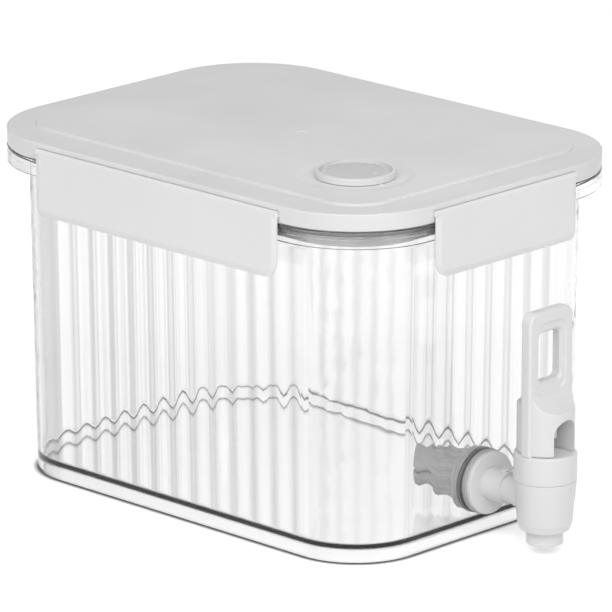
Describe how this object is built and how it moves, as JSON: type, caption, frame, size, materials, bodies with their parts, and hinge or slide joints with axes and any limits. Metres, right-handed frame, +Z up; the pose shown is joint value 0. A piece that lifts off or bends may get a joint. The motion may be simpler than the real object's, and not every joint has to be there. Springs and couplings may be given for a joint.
{
  "type": "fridge water jug with tap",
  "caption": "Clear rectangular cold-water jug with a clip-on lid, a round vent dial and a lever tap low on one short side.",
  "frame": {"origin": "middle of the tank's foot, on the surface that the jug stands on", "axes": "+Z up; the tap side faces -Y and the long sides run along Y; +X is the tap's right-hand side when it is looked at from in front"},
  "size_m": [0.1754, 0.2675, 0.154],
  "materials": {
    "clear_plastic": "clear, polished moulding",
    "lid_plastic": "translucent white, satin top",
    "clip_plastic": "translucent white, smooth",
    "dial_plastic": "white, smooth",
    "tap_plastic": "opaque white, semi-gloss",
    "clear_silicone": "translucent silicone",
    "grey_silicone": "soft grey silicone",
    "nut_plastic": "grey moulding",
    "pin_steel": "plain drawn steel"
  },
  "bodies": {
    "tank": {"container": "clear_plastic", "tap_body": "tap_plastic", "tap_bonnet": "tap_plastic", "valve_seal": "clear_silicone", "outer_washer": "grey_silicone", "inner_washer": "grey_silicone", "lock_nut": "nut_plastic"},
    "lid": {"lid": "lid_plastic", "lid_gasket": "clear_silicone"},
    "front_clip": {"clip_front": "clip_plastic"},
    "back_clip": {"clip_back": "clip_plastic"},
    "left_clip": {"clip_left": "clip_plastic"},
    "right_clip": {"clip_right": "clip_plastic"},
    "dial": {"vent_dial": "dial_plastic", "vent_seal": "clear_silicone", "dial_retainer": "dial_plastic"},
    "stem": {"tap_stem": "tap_plastic"},
    "lever": {"tap_lever": "tap_plastic", "lever_pin": "pin_steel"}
  },
  "joints": [
    {"name": "lid_lift", "type": "slide", "parent": "tank", "child": "lid", "axis": [0, 0, 1], "range_m": [0, 0.06]},
    {"name": "front_clip_open", "type": "hinge", "parent": "lid", "child": "front_clip", "pos_m": [0, -0.11505, 0.147], "axis": [-1, 0, 0], "range_deg": [0, 115]},
    {"name": "back_clip_open", "type": "hinge", "parent": "lid", "child": "back_clip", "pos_m": [0, 0.11505, 0.147], "axis": [1, 0, 0], "range_deg": [0, 115]},
    {"name": "left_clip_open", "type": "hinge", "parent": "lid", "child": "left_clip", "pos_m": [-0.08635, 0, 0.147], "axis": [0, 1, 0], "range_deg": [0, 115]},
    {"name": "right_clip_open", "type": "hinge", "parent": "lid", "child": "right_clip", "pos_m": [0.08635, 0, 0.147], "axis": [0, -1, 0], "range_deg": [0, 115]},
    {"name": "vent_turn", "type": "hinge", "parent": "lid", "child": "dial", "pos_m": [-0.0327, -0.0619, 0.15], "axis": [0, 0, 1], "range_deg": [0, 90]},
    {"name": "stem_lift", "type": "slide", "parent": "tank", "child": "stem", "axis": [0, 0, 1], "range_m": [0, 0.0054], "deforming": ["valve_seal"]},
    {"name": "lever_tip", "type": "hinge", "parent": "stem", "child": "lever", "pos_m": [0, -0.1381, 0.0537], "axis": [1, 0, 0], "range_deg": [0, 32], "stiffness_Nm_per_rad": 0.2, "springref_deg": -11.46}
  ],
  "couplings": [
    {"joint": "lever_tip", "follows": "stem_lift", "rad_per_m": 103.1}
  ]
}
